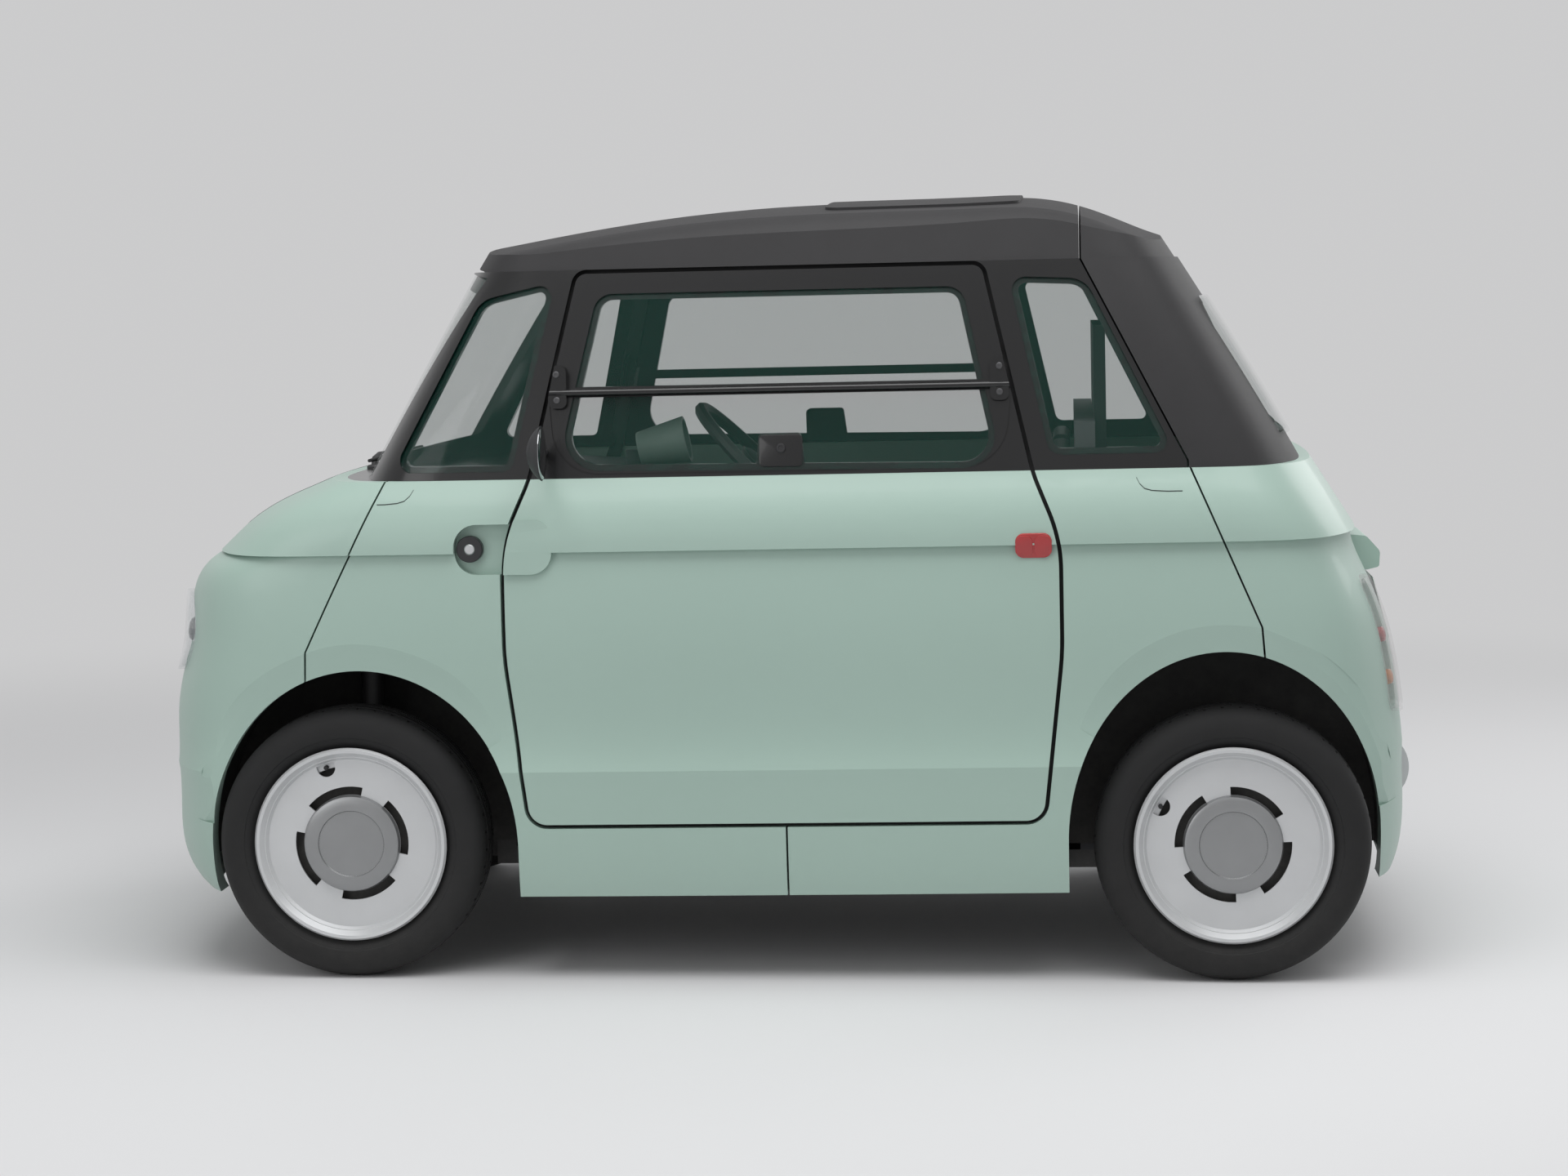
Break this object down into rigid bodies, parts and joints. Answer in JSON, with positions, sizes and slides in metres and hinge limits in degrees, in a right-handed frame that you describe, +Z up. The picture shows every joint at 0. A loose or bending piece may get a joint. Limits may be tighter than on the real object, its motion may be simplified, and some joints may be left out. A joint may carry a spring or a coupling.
{
  "type": "microcar",
  "caption": "Short two-seat electric microcar with moulded panels, opposed side doors, steered front wheels and a hollow glazed cabin.",
  "frame": {"origin": "on the ground at the middle of the overall length and width", "axes": "+X from nose to tail, +Y to the car's right, +Z up"},
  "size_m": [2.535, 1.596, 1.5351],
  "materials": {
    "mint_paint": "satin body colour",
    "black_shell": "fine grained charcoal black",
    "clear_glass": "lightly green tinted",
    "chassis_black": "satin black coating",
    "cast_metal": "as cast",
    "motor_case": "as cast",
    "battery_case": "satin grey",
    "seat_shell": "grained",
    "seat_cloth": "woven charcoal cloth",
    "dash_plastic": "grained",
    "wheel_rim_grip": "soft grip",
    "tyre_rubber": "matt",
    "silver_cover": "satin silver lacquer",
    "lamp_lens": "clear",
    "tail_lens": "clear with a red inner lens",
    "guard_silver": "satin silver",
    "liner_plastic": "rough moulded",
    "mirror_black": "fine grained"
  },
  "bodies": {
    "body": {"floor_pan": "chassis_black", "nose_panel": "mint_paint", "tail_panel": "mint_paint", "front_side_panel_left": "mint_paint", "front_side_panel_right": "mint_paint", "rear_side_panel_left": "mint_paint", "rear_side_panel_right": "mint_paint", "cabin_frame": "black_shell", "windscreen": "clear_glass", "quarter_glasses": "clear_glass", "roof_panel": "black_shell", "rear_roof_shell": "black_shell", "rear_window": "clear_glass", "dashboard": "dash_plastic", "steering_column": "dash_plastic", "seat_frames": "seat_shell", "seat_cushions": "seat_cloth", "rear_bulkhead": "dash_plastic", "battery_block": "battery_case", "motor_block": "motor_case", "front_suspension": "chassis_black", "rear_axle": "chassis_black", "arch_liners": "liner_plastic", "headlamps": "lamp_lens", "tail_lamps": "tail_lens", "bumper_guards": "guard_silver"},
    "steering_wheel": {"steering_wheel": "wheel_rim_grip"},
    "door_left": {"door_panel_left": "mint_paint", "door_frame_left": "black_shell", "door_glass_left": "clear_glass", "mirror_left": "mirror_black"},
    "door_right": {"door_panel_right": "mint_paint", "door_frame_right": "black_shell", "door_glass_right": "clear_glass", "mirror_right": "mirror_black"},
    "knuckle_left": {"knuckle_left": "cast_metal"},
    "knuckle_right": {"knuckle_right": "cast_metal"},
    "wheel_front_left": {"tyre_front_left": "tyre_rubber", "rim_front_left": "silver_cover"},
    "wheel_front_right": {"tyre_front_right": "tyre_rubber", "rim_front_right": "silver_cover"},
    "wheel_rear_left": {"tyre_rear_left": "tyre_rubber", "rim_rear_left": "silver_cover"},
    "wheel_rear_right": {"tyre_rear_right": "tyre_rubber", "rim_rear_right": "silver_cover"}
  },
  "joints": [
    {"name": "door_left_hinge", "type": "hinge", "parent": "body", "child": "door_left", "pos_m": [0.56221, -0.702, 0.65588], "axis": [-0.0104, 0, 0.9999], "range_deg": [0, 75]},
    {"name": "door_right_hinge", "type": "hinge", "parent": "body", "child": "door_right", "pos_m": [-0.51573, 0.702, 0.64467], "axis": [-0.0104, 0, 0.9999], "range_deg": [0, 75]},
    {"name": "steer_left", "type": "hinge", "parent": "body", "child": "knuckle_left", "pos_m": [-0.8365, -0.551, 0.268], "axis": [0, 0, 1], "range_deg": [-33, 33]},
    {"name": "steer_right", "type": "hinge", "parent": "body", "child": "knuckle_right", "pos_m": [-0.8365, 0.551, 0.268], "axis": [0, 0, 1], "range_deg": [-33, 33]},
    {"name": "steering_wheel_turn", "type": "hinge", "parent": "body", "child": "steering_wheel", "pos_m": [-0.04623, -0.3, 0.98357], "axis": [0.7148, 0, 0.6994], "range_deg": [-400, 400]},
    {"name": "wheel_front_left_spin", "type": "hinge", "parent": "knuckle_left", "child": "wheel_front_left", "pos_m": [-0.8365, -0.591, 0.268], "axis": [0, 1, 0], "continuous": true},
    {"name": "wheel_front_right_spin", "type": "hinge", "parent": "knuckle_right", "child": "wheel_front_right", "pos_m": [-0.8365, 0.591, 0.268], "axis": [0, 1, 0], "continuous": true},
    {"name": "wheel_rear_left_spin", "type": "hinge", "parent": "body", "child": "wheel_rear_left", "pos_m": [0.8915, -0.591, 0.268], "axis": [0, 1, 0], "continuous": true},
    {"name": "wheel_rear_right_spin", "type": "hinge", "parent": "body", "child": "wheel_rear_right", "pos_m": [0.8915, 0.591, 0.268], "axis": [0, 1, 0], "continuous": true}
  ],
  "couplings": [
    {"joint": "steer_right", "follows": "steer_left", "ratio": 1},
    {"joint": "steering_wheel_turn", "follows": "steer_left", "ratio": 12}
  ]
}
